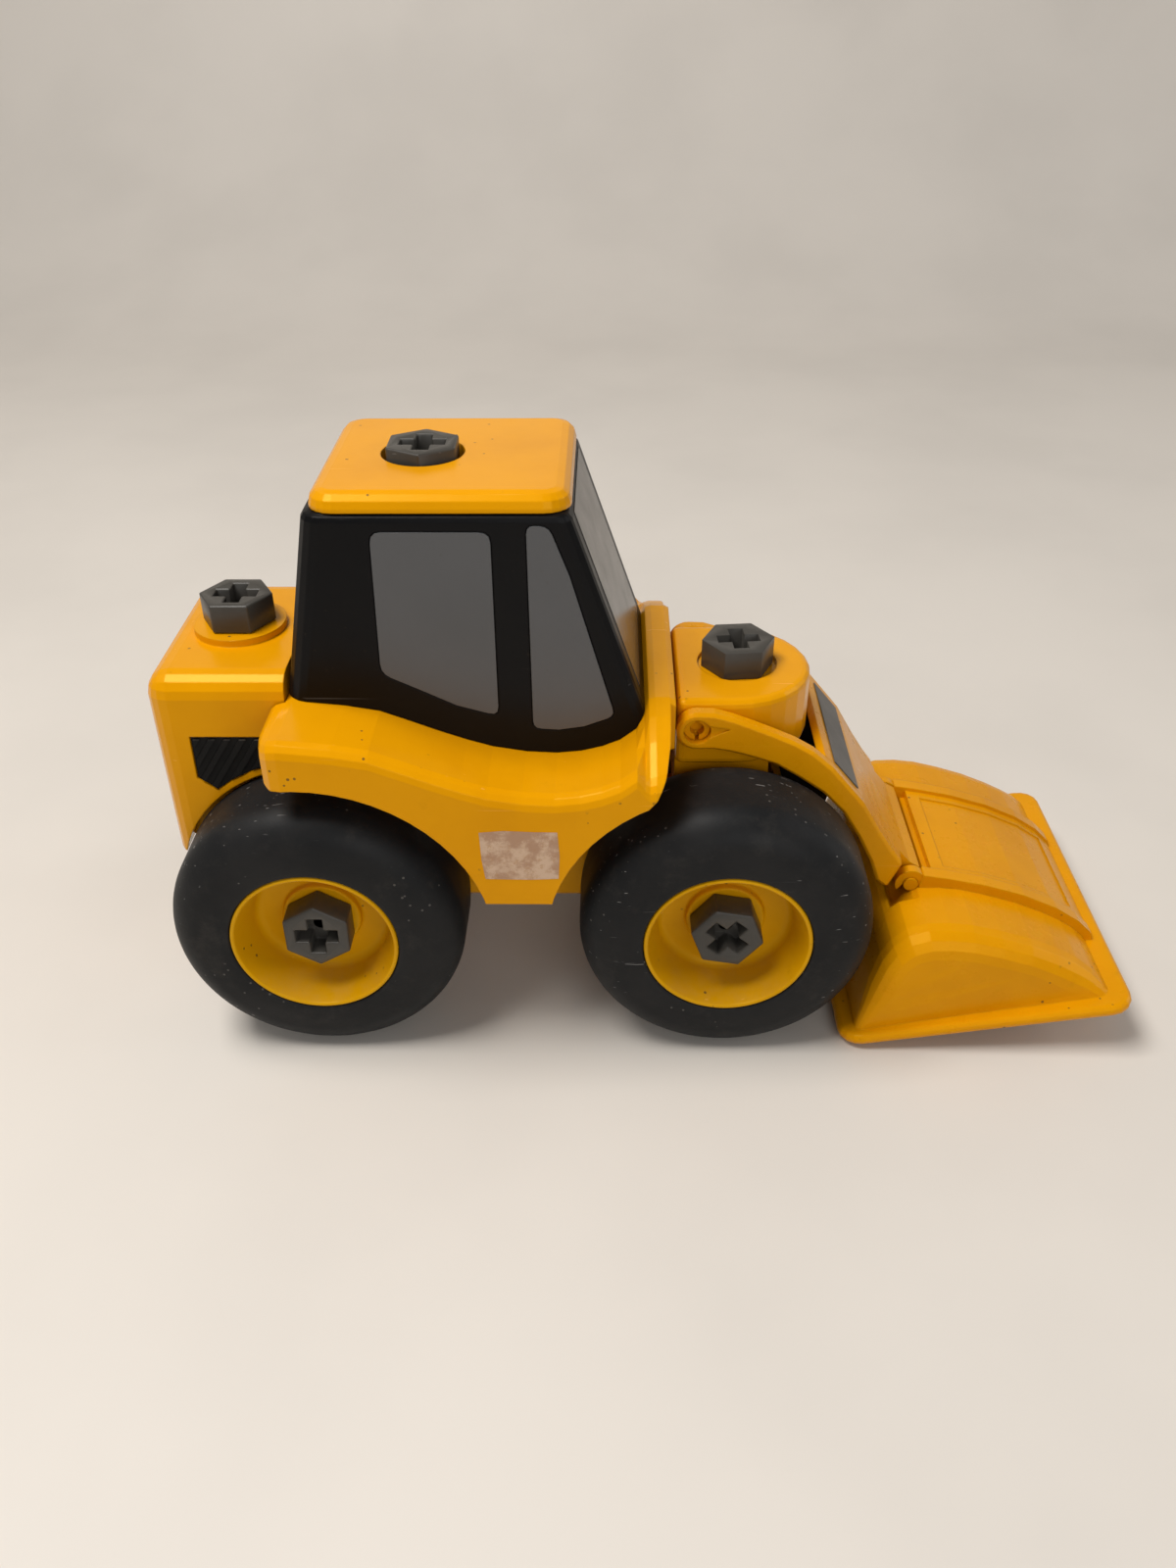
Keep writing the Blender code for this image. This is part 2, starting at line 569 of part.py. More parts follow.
def make_roof(mat):
    roof = box("cab_roof", (ROOF_REAR, -ROOF_HALF_W, CAB_TOP + GAP), (ROOF_FRONT, ROOF_HALF_W, ROOF_TOP))
    roll_edges(roof, ROOF_CORNER_R, 5, lambda a, b: abs(a.z - b.z) > 1.0)
    roll_edges(roof, ROOF_EDGE_R, 3, lambda a, b: min(a.z, b.z) > ROOF_TOP - 0.1)
    join(roof, cylinder("boss", "z", (CAB_SCREW_X, 0.0), 18.0, 204.3, 212.0, 32))
    cut(roof, cylinder("seat", "z", (CAB_SCREW_X, 0.0), ROOF_BORE_R, ROOF_SEAT_Z, 230.0, 40))
    cut(roof, cylinder("hole", "z", (CAB_SCREW_X, 0.0), SHANK_HOLE_R + 0.2, 200.0, 230.0, 16))
    return finish(roof, mat, (CAB_SCREW_X, 0.0, ROOF_TOP))


def d_plan(inset):
    half = arc((BLOCK_X, 0.0), BLOCK_R - inset, -90.0, 90.0, 14)
    return [(BLOCK_REAR + inset, -(BLOCK_R - inset))] + half + [(BLOCK_REAR + inset, BLOCK_R - inset)]


def make_block(mat):
    block = plan_prism("front_block", d_plan(0.0), BLOCK_BOTTOM, BLOCK_TOP)
    round_edges(block, 3.0, 3, 50.0)
    half = BLOCK_SKIRT_HALF_W
    join(block, box("skirt", (BLOCK_REAR, -half, BLOCK_SKIRT_BOTTOM), (42.0, half, BLOCK_BOTTOM + 6.0)))
    cut(block, plan_prism("hollow", d_plan(4.4), BLOCK_BOTTOM + 3.0, 129.3))
    cut(block, box("tower_room", (11.6, -24.2, 80.0), (38.4, 24.2, 120.0)))
    for side in (-1, 1):
        ends = sorted((side * 28.6, side * 34.6))
        stud = cylinder("stud", "y", PIVOT, STUD_R, ends[0], ends[1], BORE_SEG)
        cut(stud, cylinder("bore", "y", PIVOT, 2.6, side * 36.0 - 5.0, side * 36.0 + 5.0, 16))
        join(block, stud)
        ends = sorted((side * 31.6, side * 40.0))
        split = (PIVOT[0] - 0.7, ends[0], PIVOT[1] - 8.0), (PIVOT[0] + 0.7, ends[1], PIVOT[1] + 8.0)
        cut(block, box("split", *split))
    cut(block, cylinder("seat", "z", (BLOCK_SCREW_X, 0.0), 15.2, BLOCK_SEAT_Z, 140.0, 40))
    cut(block, cylinder("hole", "z", (BLOCK_SCREW_X, 0.0), SHANK_HOLE_R + 0.2, 120.0, 140.0, 16))
    return finish(block, mat, (BLOCK_SCREW_X, 0.0, BLOCK_BOTTOM))


def make_arm(mat):
    """Both side arms, the plate between them and the hinge lug, as one moulding."""
    top = ARM_TOP[6:]
    skin = [(62.4, 110.6)] + top
    under = [tuple(Vector(p) + Vector((-0.82, -0.57)) * PLATE_THICK) for p in skin]
    lug = [(101.0, 58.6), (105.4, 56.0), (106.4, 51.9), (104.6, 48.0), (101.2, 46.6), (97.4, 48.0),
           (95.2, 52.6)]
    arm = prism("loader_arm", skin + lug + list(reversed(under)), -ARM_IN - 1.0, ARM_IN + 1.0)
    for side in (-1, 1):
        ends = sorted((side * (EYE_IN - 1.2), side * 60.0))
        cut(arm, prism("clip_gap", [(91.2, 44.0), (91.2, 52.2), (96.2, 64.3), (112.0, 64.3), (112.0, 44.0)],
                       ends[0], ends[1]))
    boss = arc(PIVOT, PIVOT_BOSS_R, 270.0, 90.0, 14)
    for side in (-1, 1):
        ends = sorted((side * ARM_IN, side * ARM_OUT))
        rail = prism("rail", ARM_TOP + ARM_UNDER + boss, ends[0], ends[1])
        round_edges(rail, 1.2, 1, 40.0)
        cut(rail, cylinder("hole", "y", PIVOT, PIVOT_HOLE_R, -60.0, 60.0, BORE_SEG))
        ends = sorted((side * (ARM_OUT - 0.7), side * 60.0))
        cut(rail, prism("recess", [(18.2, 126.6), (26.0, 125.2), (18.6, 121.6)], ends[0], ends[1]))
        join(arm, rail)
    join(arm, cylinder("bar", "y", HINGE, HINGE_BAR_R, -EYE_OUT - 0.8, EYE_OUT + 0.8, BORE_SEG))
    return finish(arm, mat, (PIVOT[0], 0.0, PIVOT[1]))


def make_label(mat):
    """Plain dark label along the plate, with no print on it."""
    start, end = Vector(ARM_TOP[6]), Vector(ARM_TOP[7])
    along = (end - start).normalized()
    out = Vector((-along.y, along.x))
    points = [start + along * 2.0 + out * 0.1, start + along * 17.6 + out * 0.1,
              start + along * 17.6 + out * 0.5, start + along * 2.0 + out * 0.5]
    label = prism("arm_label", [tuple(p) for p in points], -30.0, 30.0)
    return finish(label, mat, (PIVOT[0], 0.0, PIVOT[1]))


def pillow(name, rows):
    """A closed hump made of rows across it, whose ends are rolled over towards the inside."""
    points = []
    for x, z, half, roll in rows:
        inward = (Vector((min(max(x, 112.0), 150.0), 8.0)) - Vector((x, z))).normalized()
        row = []
        for angle in (90.0, 67.5, 45.0, 22.5, 0.0):
            drop = roll * (1.0 - math.cos(math.radians(angle)))
            y = half - roll + roll * math.sin(math.radians(angle))
            row.append((x + inward.x * drop, y, z + inward.y * drop))
        points += [(px, -py, pz) for px, py, pz in row] + list(reversed(row))
    n = len(rows)
    m = len(points) // n
    faces = [[i * m + k, i * m + k + 1, (i + 1) * m + k + 1, (i + 1) * m + k]
             for i in range(n - 1) for k in range(m - 1)]
    faces += [[i * m for i in range(n)], [i * m + m - 1 for i in range(n)]]
    faces.append(list(range(m)) + list(range(n * m - 1, (n - 1) * m - 1, -1)))
    hump = mesh_from(name, points, faces)
    bm = bmesh.new()
    bm.from_mesh(hump.data)
    bmesh.ops.triangulate(bm, faces=[face for face in bm.faces if len(face.verts) > 4])
    bm.to_mesh(hump.data)
    bm.free()
    return hump


def make_bucket(mat):
    bucket = pillow("bucket", SHELL)
    rim = box("rim", (0.0, -RIM_HALF_W, 0.0), (RIM_PLANE_LEN, RIM_HALF_W, RIM_THICK))
    roll_edges(rim, RIM_CORNER_R, 4, lambda a, b: abs(a.z - b.z) > 1.0)
    round_edges(rim, 2.3, 3, 60.0)
    rim.data.transform(Matrix.Rotation(-RIM_PLANE_ANGLE, 4, "Y"))
    rim.data.transform(Matrix.Translation(Vector((RIM_PLANE_START[0], 0.0, RIM_PLANE_START[1])) * MM))
    join(bucket, rim)
    half = RIB_IN + 0.5
    cut(bucket, cylinder("lug_room", "y", HINGE, LUG_ROOM_R, -half, half, 32))
    lowered = [(x, z - PANEL_STEP) for x, z in RIB_TOP if x > PANEL_START]
    back = [(PANEL_START, 40.0), (PANEL_START, lowered[0][1] + 0.8)]
    middle = back + lowered + [(177.2, 20.0), (150.0, 20.0)]
    join(bucket, prism("middle", middle, -RIB_IN - 1.0, RIB_IN + 1.0))
    for side in (-1, 1):
        ends = sorted((side * RIB_IN, side * RIB_OUT))
        rib = prism("rib", [(103.7, 47.8)] + RIB_TOP + [(179.4, 20.0), (150.0, 20.0)], ends[0], ends[1])
        join(bucket, rib)
        ends = sorted((side * EYE_IN, side * EYE_OUT))
        join(bucket, cylinder("eye", "y", HINGE, EYE_R, ends[0], ends[1], 28))
    cut(bucket, pillow("hollow", HOLLOW))
    inlay = [(x, z - 0.7) for x, z in lowered if x < 175.0]
    cut(bucket, prism("inlay", inlay + [(x, z + 6.0) for x, z in reversed(inlay)], -24.0, 24.0))
    cut(bucket, cylinder("eye_hole", "y", HINGE, HINGE_EYE_R, -40.0, 40.0, BORE_SEG))
    mouth = box("mouth", (-2.2, -40.0, -12.0), (2.2, 40.0, 0.0))
    mouth.data.transform(Matrix.Rotation(math.radians(38.0), 4, "Y"))
    mouth.data.transform(Matrix.Translation(Vector((HINGE[0], 0.0, HINGE[1])) * MM))
    cut(bucket, mouth)
    return finish(bucket, mat, (HINGE[0], 0.0, HINGE[1]))


def main():
    clear_scene()
    yellow = material("yellow_plastic", (0.89, 0.40, 0.005), 0.32)
    arm_yellow = material("arm_yellow_plastic", (0.88, 0.42, 0.01), 0.38)
    rim_yellow = material("rim_yellow_plastic", (0.75, 0.48, 0.01), 0.36)
    black = material("black_plastic", (0.016, 0.015, 0.014), 0.42)
    grille_black = material("grille_plastic", (0.03, 0.028, 0.026), 0.6)
    grey = material("window_grey", (0.10, 0.10, 0.105), 0.34)
    glassy = material("windshield_grey", (0.16, 0.165, 0.17), 0.25)
    screw_grey = material("screw_plastic", (0.09, 0.083, 0.072), 0.4)
    tyre_dark = material("tyre_rubber", (0.022, 0.023, 0.026), 0.62)
    label_dark = material("label_dark", (0.05, 0.05, 0.055), 0.35)

    make_chassis(yellow)
    make_body(yellow)
    make_engine_cover(yellow)
    make_grille("grille_right", grille_black, -1)
    make_grille("grille_left", grille_black, 1)
    make_cab(black)
    make_roof(yellow)
    for side, word in ((-1, "right"), (1, "left")):
        make_window("door_window_" + word, grey, DOOR_WINDOW, 4.0, side)
        make_window("quarter_window_" + word, grey, QUARTER_WINDOW, 3.2, side)
    make_windshield(glassy)
    make_block(yellow)
    make_arm(arm_yellow)
    make_label(label_dark)
    make_bucket(arm_yellow)
    spins = {"rear_right": 90.0, "front_right": 50.0, "rear_left": 75.0, "front_left": 100.0}
    for where, x in (("rear", REAR_X), ("front", FRONT_X)):
        for side, word in ((-1, "right"), (1, "left")):
            tag = where + "_" + word
            make_tyre("tyre_" + tag, tyre_dark, x, side)
            make_rim("rim_" + tag, rim_yellow, x, side)
            make_screw("wheel_screw_" + tag, screw_grey, (x, side * (HUB_Y + GAP), AXLE_Z),
                       (0.0, side * 1.0, 0.0), math.radians(spins[tag]))
    up = (0.0, 0.0, 1.0)
    make_screw("roof_screw", screw_grey, (CAB_SCREW_X, 0.0, ROOF_SEAT_Z + GAP), up, math.radians(90.0))
    make_screw("engine_screw", screw_grey, (ENGINE_SCREW_X, 0.0, ENGINE_SEAT_Z + GAP), up, 0.0)
    make_screw("front_screw", screw_grey, (BLOCK_SCREW_X, 0.0, BLOCK_SEAT_Z + GAP), up, math.radians(5.0))


main()
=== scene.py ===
"""Looks for the take-apart toy wheel loader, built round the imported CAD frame.

Places, lights and material distances are in metres.  Outlines are in millimetres, and add_mesh scales them.
"""

import math

import bmesh
import bpy
from mathutils import Matrix, Vector


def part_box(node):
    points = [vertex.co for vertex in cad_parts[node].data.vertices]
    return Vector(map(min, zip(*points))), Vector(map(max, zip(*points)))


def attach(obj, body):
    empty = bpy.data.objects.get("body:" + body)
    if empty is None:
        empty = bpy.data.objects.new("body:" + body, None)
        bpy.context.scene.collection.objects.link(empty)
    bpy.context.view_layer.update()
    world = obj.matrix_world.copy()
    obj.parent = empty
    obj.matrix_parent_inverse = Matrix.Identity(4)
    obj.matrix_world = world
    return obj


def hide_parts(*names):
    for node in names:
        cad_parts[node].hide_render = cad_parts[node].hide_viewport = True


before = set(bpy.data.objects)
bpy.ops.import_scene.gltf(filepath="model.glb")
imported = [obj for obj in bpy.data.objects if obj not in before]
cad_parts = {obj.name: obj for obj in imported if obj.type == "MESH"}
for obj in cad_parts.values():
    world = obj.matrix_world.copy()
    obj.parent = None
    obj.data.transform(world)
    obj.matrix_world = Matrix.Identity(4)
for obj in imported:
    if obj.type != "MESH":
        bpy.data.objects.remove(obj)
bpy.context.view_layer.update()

MM = 0.001
SIDES = {"right": -1, "left": 1}
AXLES = {"rear": -127.0 * MM, "front": 26.0 * MM}
AXLE_Z = 55.0 * MM

# camera
CAMERA_PLACE = (-0.01775, -0.43147, 0.36681)
CAMERA_YAW = 0.020577
CAMERA_PITCH = 0.592426
CAMERA_ROLL = -0.009052
CAMERA_LENS = 29.25

# tyre and rim, measured from the axle (radius) and the middle plane (y), in mm
TYRE_R = 55.0
TYRE_OUT = 75.0
TYRE_IN = 29.0
SHOULDER_R = 13.6
BEAD_R = 31.3
SMOOTH_SEGMENTS = 128

# toy screw, in mm
HEAD_AF = 24.0
HEAD_H = 11.0
HEAD_EDGE = 0.75
CROSS_SPAN = 16.0
CROSS_ARM = 5.7
CROSS_DEPTH = 8.5
BAR_OVER = 4.0
DIMPLE_R = 2.0
DIMPLE_DEPTH = 1.4
DIMPLE_OVER = 1.0
SHANK_R = 3.1
SHANK_LENGTH = 23.9
SHANK_OVERLAP = 0.5

# paper patch, in mm outwards from the skirt: its clearance, then its outer and inner face from there
PAPER_GAP = 0.05
PAPER_OUT = 0.12
PAPER_IN = 0.02

# edges that turn by more than this stay sharp, in degrees
SHARP_ANGLE = 35.0

# how strongly the plastics mirror their surroundings, and the tint the yellow ones give to it
SHEEN_LEVEL = 0.32
WARM = (1.0, 0.70, 0.14)
SPECK_COLOUR = (0.05, 0.035, 0.02)
DUST_COLOUR = (0.36, 0.31, 0.26)
SCRATCH_TURNS = ((0.3, 0.2, 0.5), (0.1, 0.9, 2.1), (1.2, 0.1, 1.2))


# ---------- node helpers ----------

class Graph:
    """Short way to write a material's nodes."""

    def __init__(self, name):
        self.mat = bpy.data.materials.new(name)
        self.mat.use_nodes = True
        self.tree = self.mat.node_tree
        self.shader = self.tree.nodes["Principled BSDF"]
        coords = self.tree.nodes.new("ShaderNodeTexCoord")
        self.place = coords.outputs["Object"]

    def node(self, kind, **values):
        made = self.tree.nodes.new("ShaderNode" + kind)
        for key, value in values.items():
            setattr(made, key, value)
        return made

    def feed(self, socket, value):
        if hasattr(value, "links"):
            self.tree.links.new(value, socket)
        else:
            socket.default_value = value

    def math(self, operation, a, b=0.0, clamp=False):
        made = self.node("Math", operation=operation, use_clamp=clamp)
        self.feed(made.inputs[0], a)
        self.feed(made.inputs[1], b)
        return made.outputs[0]

    def noise(self, scale, detail=3.0, roughness=0.5, stretch=None, turn=(0.0, 0.0, 0.0)):
        made = self.node("TexNoise")
        made.inputs["Scale"].default_value = scale
        made.inputs["Detail"].default_value = detail
        made.inputs["Roughness"].default_value = roughness
        source = self.place
        if stretch is not None:
            mapping = self.node("Mapping")
            self.feed(mapping.inputs["Vector"], source)
            mapping.inputs["Rotation"].default_value = turn
            mapping.inputs["Scale"].default_value = stretch
            source = mapping.outputs[0]
        self.feed(made.inputs["Vector"], source)
        return made.outputs["Fac"]

    def ramp(self, value, low, high):
        """0 below low, 1 above high, smooth between."""
        made = self.node("MapRange", interpolation_type="SMOOTHSTEP")
        self.feed(made.inputs["Value"], value)
        made.inputs["From Min"].default_value = low
        made.inputs["From Max"].default_value = high
        return made.outputs["Result"]

    def cells(self, scale, radius):
        """Small dots, 1 inside and 0 outside."""
        made = self.node("TexVoronoi")
        made.inputs["Scale"].default_value = scale
        self.feed(made.inputs["Vector"], self.place)
        return self.math("LESS_THAN", made.outputs["Distance"], radius)

    def mix(self, amount, a, b):
        made = self.node("Mix", data_type="RGBA")
        self.feed(made.inputs["Factor"], amount)
        for name, value in (("A", a), ("B", b)):
            socket = [s for s in made.inputs if s.name == name and s.type == "RGBA"][0]
            self.feed(socket, value if hasattr(value, "links") else (*value, 1.0))
        return [s for s in made.outputs if s.type == "RGBA"][0]

    def bump(self, height, strength, distance, soft_edge):
        made = self.node("Bump")
        made.inputs["Strength"].default_value = strength
        made.inputs["Distance"].default_value = distance
        self.feed(made.inputs["Height"], height)
        if soft_edge:
            edge = self.node("Bevel", samples=4)
            edge.inputs["Radius"].default_value = soft_edge
            self.feed(made.inputs["Normal"], edge.outputs["Normal"])
        self.feed(self.shader.inputs["Normal"], made.outputs["Normal"])


def scratches(g, amount):
    """Thin short lines in a few directions, broken up by patches."""
    total = None
    for turn in SCRATCH_TURNS:
        lines = g.noise(6.0, 2.0, 0.6, (1.5, 90.0, 90.0), turn)
        thin = g.ramp(lines, 0.735 - amount, 0.765 - amount)
        patch = g.ramp(g.noise(14.0, 1.0, 0.5, (1.0, 1.0, 1.0), turn), 0.50, 0.60)
        part = g.math("MULTIPLY", thin, patch)
        total = part if total is None else g.math("MAXIMUM", total, part)
    return total


def plastic(name, colour, shade, roughness, specks=1.0, scratch=0.0, grime=0.5, soft_edge=0.0008,
            through=0.0, dust=0.0, sheen=SHEEN_LEVEL, sheen_colour=(1.0, 1.0, 1.0)):
    """Moulded plastic: uneven tint, grime, specks, scratches, faint texture."""
    g = Graph(name)
    patches = g.ramp(g.noise(22.0, 4.0, 0.6), 0.35, 0.75)
    base = g.mix(patches, colour, shade)
    smear = g.ramp(g.noise(60.0, 6.0, 0.7), 0.60, 0.82)
    base = g.mix(g.math("MULTIPLY", smear, 0.35 * grime), base, tuple(c * 0.35 for c in shade))
    dots = g.math("MULTIPLY", g.cells(190.0, 0.11), g.ramp(g.noise(38.0, 2.0), 0.56, 0.62))
    base = g.mix(g.math("MULTIPLY", dots, 0.75 * specks), base, SPECK_COLOUR)
    lines = scratches(g, scratch)
    pale = tuple(min(1.0, c * 1.1 + 0.10) for c in colour)
    base = g.mix(g.math("MULTIPLY", lines, 0.35), base, pale)
    if dust:
        facing = g.node("NewGeometry")
        split = g.node("SeparateXYZ")
        g.feed(split.inputs[0], facing.outputs["Normal"])
        level = g.ramp(split.outputs["Z"], 0.25, 1.0)
        spread = g.ramp(g.noise(90.0, 6.0, 0.7), 0.35, 0.75)
        settled = g.math("MULTIPLY", level, spread)
        base = g.mix(g.math("MULTIPLY", settled, dust), base, DUST_COLOUR)
    g.feed(g.shader.inputs["Base Color"], base)
    uneven = g.math("MULTIPLY", g.noise(75.0, 5.0, 0.65), 0.22)
    rough = g.math("ADD", uneven, roughness - 0.11)
    rough = g.math("ADD", rough, g.math("MULTIPLY", lines, 0.18), clamp=True)
    g.feed(g.shader.inputs["Roughness"], rough)
    g.shader.inputs["Specular IOR Level"].default_value = sheen
    g.shader.inputs["Specular Tint"].default_value = (*sheen_colour, 1.0)
    if through:
        g.shader.inputs["Subsurface Weight"].default_value = through
        g.shader.inputs["Subsurface Radius"].default_value = (0.006, 0.003, 0.0006)
        g.shader.inputs["Subsurface Scale"].default_value = 1.0
    peel = g.math("SUBTRACT", g.math("MULTIPLY", g.noise(420.0, 2.0), 0.25), g.math("MULTIPLY", lines, 0.5))
    g.bump(peel, 0.14, 0.0004, soft_edge)
    return g.mat


def tyre_material():
    """Charcoal rubber-like plastic with dust, pale scuffs and fine grain."""
    g = Graph("tyre_charcoal")
    base = g.mix(g.ramp(g.noise(30.0, 5.0, 0.6), 0.3, 0.7), (0.0075, 0.008, 0.0088), (0.014, 0.0138, 0.014))
    dusty = g.ramp(g.noise(70.0, 8.0, 0.75), 0.50, 0.80)
    base = g.mix(g.math("MULTIPLY", dusty, 0.25), base, (0.075, 0.065, 0.055))
    lines = scratches(g, 0.03)
    base = g.mix(g.math("MULTIPLY", lines, 0.55), base, (0.30, 0.29, 0.28))
    dots = g.math("MULTIPLY", g.cells(260.0, 0.12), g.ramp(g.noise(45.0, 2.0), 0.55, 0.60))
    base = g.mix(g.math("MULTIPLY", dots, 0.3), base, (0.24, 0.22, 0.20))
    g.feed(g.shader.inputs["Base Color"], base)
    rough = g.math("ADD", g.math("MULTIPLY", g.noise(40.0, 5.0, 0.6), 0.30), 0.36)
    g.feed(g.shader.inputs["Roughness"], rough)
    g.shader.inputs["Specular IOR Level"].default_value = 0.16
    grain = g.math("ADD", g.math("MULTIPLY", g.noise(900.0, 2.0), 0.5), g.math("MULTIPLY", lines, 0.6))
    g.bump(grain, 0.30, 0.0003, 0.0)
    return g.mat


def paper_material():
    """Torn remains of a paper label, thin and blotchy."""
    g = Graph("label_residue")
    base = g.mix(g.ramp(g.noise(160.0, 8.0, 0.7), 0.40, 0.60), (0.42, 0.25, 0.155), (0.60, 0.42, 0.29))
    torn = g.ramp(g.noise(420.0, 6.0, 0.75), 0.52, 0.66)
    base = g.mix(g.math("MULTIPLY", torn, 0.5), base, (0.42, 0.22, 0.09))
    g.feed(g.shader.inputs["Base Color"], base)
    g.shader.inputs["Roughness"].default_value = 0.85
    g.bump(g.noise(500.0, 6.0, 0.8), 0.6, 0.0003, 0.0)
    return g.mat


def stage_material(name, colour):
    g = Graph(name)
    pale = tuple(c * 0.94 for c in colour)
    g.feed(g.shader.inputs["Base Color"], g.mix(g.ramp(g.noise(5.0, 4.0), 0.35, 0.7), colour, pale))
    g.shader.inputs["Roughness"].default_value = 0.55
    return g.mat


# ---------- mesh helpers (millimetres in, metres out) ----------

def add_mesh(name, verts, faces, mat, smooth=SHARP_ANGLE):
    mesh = bpy.data.meshes.new(name)
    mesh.from_pydata([(x * MM, y * MM, z * MM) for x, y, z in verts], [], faces)
    bm = bmesh.new()
    bm.from_mesh(mesh)
    bmesh.ops.recalc_face_normals(bm, faces=bm.faces)
    bm.to_mesh(mesh)
    bm.free()
    obj = bpy.data.objects.new(name, mesh)
    bpy.context.scene.collection.objects.link(obj)
    if mat is not None:
        mesh.materials.append(mat)
    mesh.shade_smooth()
    mesh.set_sharp_from_angle(angle=math.radians(smooth))
    return obj


def turned(name, profile, x, side, mat):
    """A closed (radius, y) profile turned round a wheel's axle."""
    n = len(profile)
    verts = []
    for i in range(SMOOTH_SEGMENTS):
        a = 2 * math.pi * i / SMOOTH_SEGMENTS
        verts += [(x / MM + r * math.cos(a), y * side, AXLE_Z / MM + r * math.sin(a)) for r, y in profile]
    faces = []
    for i in range(SMOOTH_SEGMENTS):
        k = (i + 1) % SMOOTH_SEGMENTS
        faces += [[i * n + j, i * n + (j + 1) % n, k * n + (j + 1) % n, k * n + j] for j in range(n)]
    return add_mesh(name, verts, faces, mat)


def arc(centre, radius, start, end, count):
    return [(centre[0] + radius * math.cos(math.radians(start + (end - start) * i / count)),
             centre[1] + radius * math.sin(math.radians(start + (end - start) * i / count)))
            for i in range(count + 1)]


def apply_modifiers(obj):
    bpy.context.view_layer.update()
    graph = bpy.context.evaluated_depsgraph_get()
    mesh = bpy.data.meshes.new_from_object(obj.evaluated_get(graph))
    obj.modifiers.clear()
    obj.data = mesh


def combine(obj, tool, operation):
    """Takes the tool away from the object or joins it on, then removes the tool."""
    mod = obj.modifiers.new("combine", "BOOLEAN")
    mod.operation = operation
    mod.solver = "EXACT"
    mod.object = tool
    apply_modifiers(obj)
    bpy.data.objects.remove(tool)


def soften(obj, width, segments):
    mod = obj.modifiers.new("soften", "BEVEL")
    mod.width = width * MM
    mod.segments = segments
    mod.limit_method = "ANGLE"
    mod.angle_limit = math.radians(SHARP_ANGLE)
    mod.harden_normals = True
    apply_modifiers(obj)


def prism(name, outline, start, end, mat=None, along="z"):
    """An outline drawn in x and y and extruded along z, or drawn in x and z and extruded along y."""
    if along == "z":
        verts = [(x, y, depth) for depth in (start, end) for x, y in outline]
    else:
        verts = [(x, depth, z) for depth in (start, end) for x, z in outline]
    n = len(outline)
    faces = [list(range(n)), list(range(2 * n - 1, n - 1, -1))]
    faces += [[i, (i + 1) % n, n + (i + 1) % n, n + i] for i in range(n)]
    return add_mesh(name, verts, faces, mat)


def ring(radius):
    """24 points round a circle."""
    return arc((0.0, 0.0), radius, 0.0, 345.0, 23)


# ---------- pieces ----------

def make_tyre(where, side_name, mat):
    side = SIDES[side_name]
    tag = where + "_" + side_name
    flat = TYRE_R - SHOULDER_R
    profile = arc((BEAD_R + 1.2, TYRE_OUT - 0.6), 1.2, 180.0, 90.0, 4)
    profile += [(35.0, TYRE_OUT + 0.7), (38.5, TYRE_OUT + 0.55)]
    profile += arc((flat, TYRE_OUT - SHOULDER_R), SHOULDER_R, 88.0, 0.0, 14)
    profile += arc((flat, TYRE_IN + SHOULDER_R), SHOULDER_R, 0.0, -90.0, 10)
    profile += [(BEAD_R, TYRE_IN)]
    tyre = turned("tyre_skin_" + tag, profile, AXLES[where], side, mat)
    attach(tyre, "wheel_" + tag)
    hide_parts("tyre_" + tag)


def make_rim(where, side_name, mat):
    side = SIDES[side_name]
    tag = where + "_" + side_name
    profile = [(31.2, 73.6)] + arc((30.3, 74.6), 0.85, 20.0, 170.0, 7)
    profile += [(29.2, 73.6), (26.4, 63.0)] + arc((22.2, 60.3), 3.6, -8.0, -88.0, 7)
    profile += [(18.0, 56.5)] + arc((15.7, 57.4), 0.8, -90.0, -180.0, 4)
    profile += arc((14.0, 58.9), 0.85, 0.0, 90.0, 4) + [(6.2, 59.6), (6.2, 30.2)]
    profile += [(9.4, 30.2), (9.4, 50.9), (24.0, 50.9), (27.9, 44.0), (27.9, 30.2), (31.2, 30.2)]
    rim = turned("rim_shell_" + tag, profile, AXLES[where], side, mat)
    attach(rim, "wheel_" + tag)
    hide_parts("rim_" + tag)


